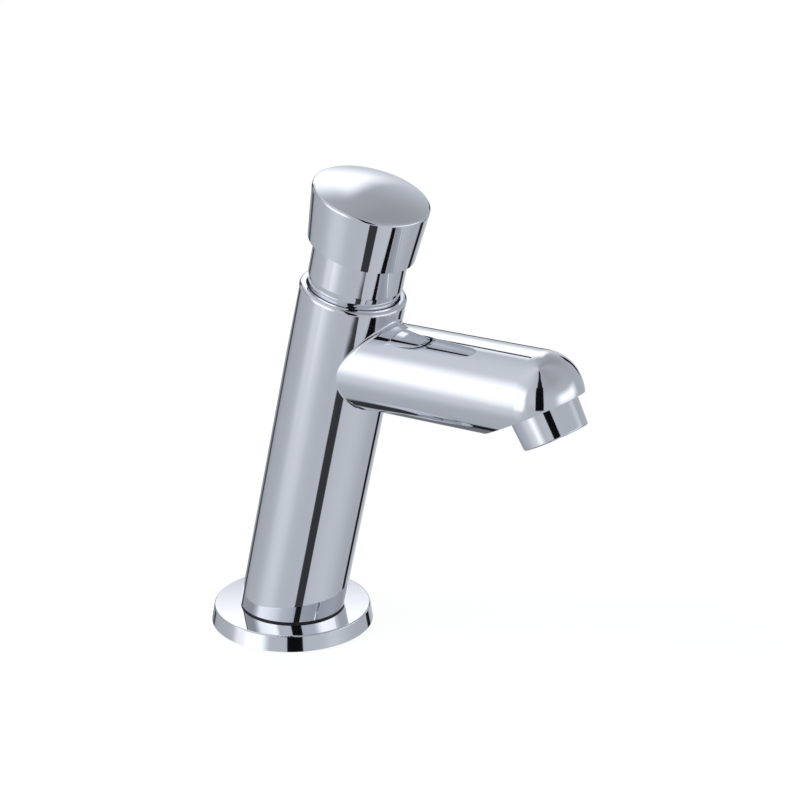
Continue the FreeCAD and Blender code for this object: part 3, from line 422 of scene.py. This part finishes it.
# Studio: what the chrome reflects, by compass angle and height above the horizon in degrees.
# Its levels were typed largely from tones sampled from the photograph.
CHROME_REFLECTANCE = 0.87
STUDIO_TINT = (0.92, 0.985, 1.10)
TINT_FADE = (0.68, 1.0)  # display greys between which the tint weakens
TINT_SHARE = (0.86, 0.35)  # share of the tint at those greys
SOFT_LIGHT = (0.48, 0.50, 0.53, 1)  # even light that plain surfaces and the floor receive
FLOOR_FADE = (-46.0, -22.0)  # heights between which the floor's levels give way to the wall's
CEILING_FADE = (5.0, 50.0)  # and the wall's to the ceiling's
# compass angle, display grey
FLOOR = (
    (0, 0.74), (20, 0.73), (40, 0.69), (60, 0.65), (90, 0.63), (120, 0.70), (150, 0.60),
    (180, 0.64), (215, 0.66), (245, 0.68), (285, 0.70), (320, 0.71), (340, 0.73),
)
WALL = (
    (0, 0.71), (20, 0.71), (40, 0.68), (60, 0.65), (90, 0.66), (102, 0.70), (116, 0.79), (128, 0.78),
    (142, 0.54), (158, 0.55), (172, 0.64), (186, 0.66), (203, 0.67), (216, 0.71), (226, 0.77), (240, 0.81),
    (252, 0.79), (262, 0.73), (285, 0.68), (320, 0.69), (340, 0.71),
)
CEILING = (
    (0, 0.60), (30, 0.63), (60, 0.66), (85, 0.55), (105, 0.62), (126, 0.64), (150, 0.72), (180, 0.76),
    (215, 0.79), (245, 0.80), (275, 0.76), (300, 0.68), (330, 0.61),
)
# compass angle, half width, softness, height, half height, softness, display grey
PANELS = (
    (246, 25, 7, 8.5, 20.5, 12.5, 1.03),
    (252, 13, 5, -8, 11, 6, 1.02),
    (134, 18.5, 4.5, 32, 15.5, 11, 1.03),
    (25, 26, 12, 3, 8.5, 7.5, 1.02),
    (188, 22, 8, 27, 9, 6, 0.56),
    (287, 12, 5, 14, 16, 8, 0.73),
    (311.5, 10.8, 0.9, 12.5, 27.5, 1.5, 0.05),
    (312.5, 7.5, 0.9, 60, 22, 2, 0.08),
    (311, 9.4, 0.9, -49, 13.5, 1, 0.20),
    (85, 6, 1.5, -38, 22, 2, 0.10),
    (100.5, 5, 1, 4, 12, 2, 0.10),
    (0, 200, 1, -82, 14, 4, 0.20),
    (143, 15, 3, -47, 11, 4, 0.42),
    (168, 12, 3, -58, 5, 2, 0.12),
    (142, 2.0, 0.8, 42, 6, 2, 0.20),
    (159, 5, 2, 2, 32, 4, 0.27),
    (126, 6, 1.5, -10, 9, 2, 0.30),
)


# Floor, in metres
FLOOR_HALF = 3.0
FLOOR_DROP = 0.00002

# Card that the flange's top mirrors, in millimetres
CARD_DIRECTION = (-0.568, 0.7015, 0.4305)
CARD_DISTANCE = 140
CARD_HALF_WIDTH = 36
CARD_HALF_HEIGHT = 16
CARD_RAMP = ((-10, 0.80), (6, 1.01))  # height on the card, display grey

# Camera, solved from the photograph's edges
SENSOR_WIDTH = 36.0
FOCAL_LENGTH = 114.03
CAMERA_PLACE = (0.46692, -0.57589, 0.36060)
CAMERA_RIGHT = (0.8054, 0.5927, 0.0)
CAMERA_FORWARD = (-0.5531, 0.7516, -0.3595)

LAMP_TARGET = (0.03, 0, 0.07)


def radiance(grey):
    """Light level that polished chrome shows as this display grey."""
    return ((grey + 0.055) / 1.055) ** 2.4 / CHROME_REFLECTANCE


def tinted(graph, level):
    """Light of this level with the studio's cool cast, which fades where the light is near white."""
    cast = graph.remap(level, *[radiance(grey) for grey in TINT_FADE], *TINT_SHARE)
    colour = graph.node("CombineColor")
    for socket, share in zip(colour.inputs, STUDIO_TINT):
        kept = graph.math("ADD", graph.math("MULTIPLY", cast, share - 1.0), 1.0)
        graph.feed(socket, graph.math("MULTIPLY", level, kept))
    return colour.outputs[0]


def wall_ramp(graph, turn, stops):
    """Light level round the compass, read from a closed row of stops."""
    made = graph.node("ValToRGB")
    ramp = made.color_ramp
    ramp.interpolation = "B_SPLINE"
    first = ramp.elements[0]
    first.position = 0.0
    first.color = (radiance(stops[0][1]),) * 3 + (1,)
    last = ramp.elements[1]
    last.position = 1.0
    last.color = first.color
    for angle, grey in stops[1:]:
        ramp.elements.new(angle / 360).color = (radiance(grey),) * 3 + (1,)
    graph.feed(made.inputs[0], turn)
    return made.outputs["Color"]


def build_world():
    world = bpy.data.worlds.new("studio")
    bpy.context.scene.world = world
    world.use_nodes = True
    graph = Graph(world.node_tree)
    heading = graph.node("TexCoord").outputs["Generated"]
    split = graph.node("SeparateXYZ")
    graph.feed(split.inputs[0], heading)
    angle = graph.math("ARCTAN2", split.outputs["Y"], split.outputs["X"])
    compass = graph.math("WRAP", graph.math("DEGREES", angle), 360.0, 0.0)
    height = graph.math("DEGREES", graph.math("ARCSINE", split.outputs["Z"]))
    turn = graph.math("DIVIDE", compass, 360.0)
    risen = graph.remap(height, *FLOOR_FADE, 0.0, 1.0, smooth=True)
    above = graph.remap(height, *CEILING_FADE, 0.0, 1.0, smooth=True)
    level = graph.mix(risen, wall_ramp(graph, turn, FLOOR), wall_ramp(graph, turn, WALL))
    level = graph.mix(above, level, wall_ramp(graph, turn, CEILING))
    for at, half, soft, up, half_up, soft_up, grey in PANELS:
        past = graph.math("SUBTRACT", compass, float(at))
        aside = graph.math("ABSOLUTE", graph.math("WRAP", past, 180.0, -180.0))
        across = graph.remap(aside, half - soft, half + soft, 1.0, 0.0, smooth=True)
        off = graph.math("ABSOLUTE", graph.math("SUBTRACT", height, float(up)))
        along = graph.remap(off, half_up - soft_up, half_up + soft_up, 1.0, 0.0, smooth=True)
        level = graph.mix(graph.math("MULTIPLY", across, along), level, radiance(grey))
    path = graph.node("LightPath")
    seen = graph.math("MAXIMUM", path.outputs["Is Camera Ray"], path.outputs["Is Transmission Ray"])
    sky = graph.blend(path.outputs["Is Glossy Ray"], SOFT_LIGHT, tinted(graph, level))
    backdrop = graph.node("Background")
    graph.feed(backdrop.inputs["Color"], graph.blend(seen, sky, (1, 1, 1, 1)))
    graph.show(backdrop, "OutputWorld")


def studio_sheet(name, half_width, half_height):
    """Flat sheet of the studio, and the empty node tree of its material."""
    mesh = bpy.data.meshes.new(name)
    corners = [(-half_width, -half_height, 0), (half_width, -half_height, 0),
               (half_width, half_height, 0), (-half_width, half_height, 0)]
    mesh.from_pydata(corners, [], [(0, 1, 2, 3)])
    sheet = bpy.data.objects.new(name, mesh)
    bpy.context.scene.collection.objects.link(sheet)
    material = bpy.data.materials.new(name)
    material.use_nodes = True
    mesh.materials.append(material)
    return sheet, Graph(material.node_tree)


def one_sided(graph, shader):
    """Shows the shader on the sheet's front. Its back is clear."""
    back = graph.node("NewGeometry").outputs["Backfacing"]
    graph.show(graph.blended_shader(back, shader, graph.node("BsdfTransparent")))


def build_floor():
    """White deck. It is clear from below, so that the fixings can be looked at."""
    floor, graph = studio_sheet("studio_floor", FLOOR_HALF, FLOOR_HALF)
    floor.location.z = -FLOOR_DROP
    floor.visible_glossy = False
    place = graph.node("TexCoord").outputs["Object"]
    cloth = graph.blend(graph.noise(place, 40.0), (0.80, 0.80, 0.80, 1), (0.84, 0.84, 0.84, 1))
    plain = graph.node("BsdfDiffuse")
    graph.feed(plain.inputs["Color"], cloth)
    shade = graph.node("BsdfDiffuse")
    shade.inputs["Color"].default_value = (0.16, 0.16, 0.16, 1)
    glow = graph.node("Emission")
    glow.inputs["Color"].default_value = (0.9, 0.9, 0.9, 1)
    both = graph.node("AddShader")
    graph.feed(both.inputs[0], shade.outputs[0])
    graph.feed(both.inputs[1], glow.outputs[0])
    one_sided(graph, graph.blended_shader(graph.node("LightPath").outputs["Is Camera Ray"], plain, both))


def build_card():
    """Pale card behind the base flange, paler toward its top, that only mirrors see."""
    card, graph = studio_sheet("flange_card", CARD_HALF_WIDTH * MM, CARD_HALF_HEIGHT * MM)
    toward = Vector(CARD_DIRECTION).normalized()
    right = toward.cross((0, 0, 1)).normalized()
    up = right.cross(toward)
    middle = Vector((0, 0, FLANGE_HEIGHT)) + toward * CARD_DISTANCE
    turn = Matrix((right, up, -toward)).transposed()
    card.matrix_world = Matrix.Translation(middle * MM) @ turn.to_4x4()
    card.visible_camera = False
    card.visible_diffuse = False
    card.visible_shadow = False
    split = graph.node("SeparateXYZ")
    graph.feed(split.inputs[0], graph.node("TexCoord").outputs["Object"])
    (low, low_grey), (high, high_grey) = CARD_RAMP
    level = graph.remap(split.outputs["Y"], low * MM, high * MM, radiance(low_grey), radiance(high_grey))
    glow = graph.node("Emission")
    graph.feed(glow.inputs["Color"], tinted(graph, level))
    one_sided(graph, glow)


def area_lamp(name, place, size, power):
    data = bpy.data.lights.new(name, "AREA")
    data.shape = "DISK"
    data.size = size
    data.energy = power
    lamp = bpy.data.objects.new(name, data)
    lamp.location = place
    lamp.rotation_mode = "QUATERNION"
    lamp.rotation_quaternion = (Vector(LAMP_TARGET) - Vector(place)).to_track_quat("-Z", "Y")
    lamp.visible_glossy = False
    bpy.context.scene.collection.objects.link(lamp)


def build_camera():
    data = bpy.data.cameras.new("camera")
    data.sensor_width = SENSOR_WIDTH
    data.lens = FOCAL_LENGTH
    camera = bpy.data.objects.new("camera", data)
    right = Vector(CAMERA_RIGHT)
    forward = Vector(CAMERA_FORWARD)
    up = right.cross(forward)
    turn = Matrix((right, up, -forward)).transposed()
    camera.matrix_world = Matrix.Translation(CAMERA_PLACE) @ turn.to_4x4()
    bpy.context.scene.collection.objects.link(camera)
    bpy.context.scene.camera = camera


build_world()
build_floor()
build_card()
area_lamp("key_lamp", (-0.55, -0.65, 0.95), size=0.7, power=4.0)
area_lamp("back_lamp", (-0.45, 0.75, 0.80), size=0.6, power=2.0)
build_camera()

bpy.context.scene.view_settings.view_transform = "Standard"
